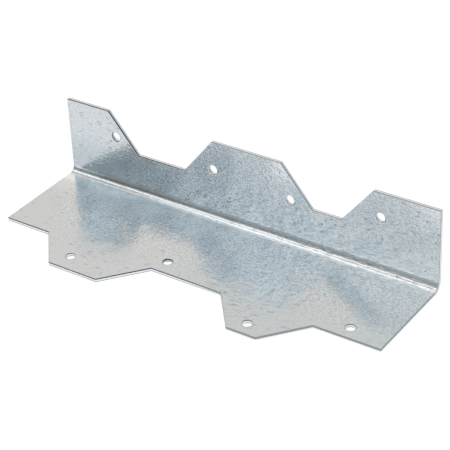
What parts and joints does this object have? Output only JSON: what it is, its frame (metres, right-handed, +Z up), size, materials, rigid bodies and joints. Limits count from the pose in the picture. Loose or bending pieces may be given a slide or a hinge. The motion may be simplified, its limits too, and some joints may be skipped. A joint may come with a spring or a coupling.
{
  "type": "reinforcing angle",
  "caption": "Folded sheet-steel angle with a zigzag edge on both legs and staggered nail holes, for tying timber members that meet at a right angle.",
  "frame": {"origin": "on the underside of the flange, at the middle of the angle's length and depth", "axes": "+X along the fold, +Y towards the back of the upright, +Z up from the flange"},
  "size_m": [0.1778, 0.0636, 0.0365],
  "materials": {
    "galvanised_steel": "hot-dip galvanised sheet with a fine, flat spangle; bare sheared edges"
  },
  "bodies": {
    "root": {"reinforcing_angle": "galvanised_steel"}
  },
  "joints": []
}
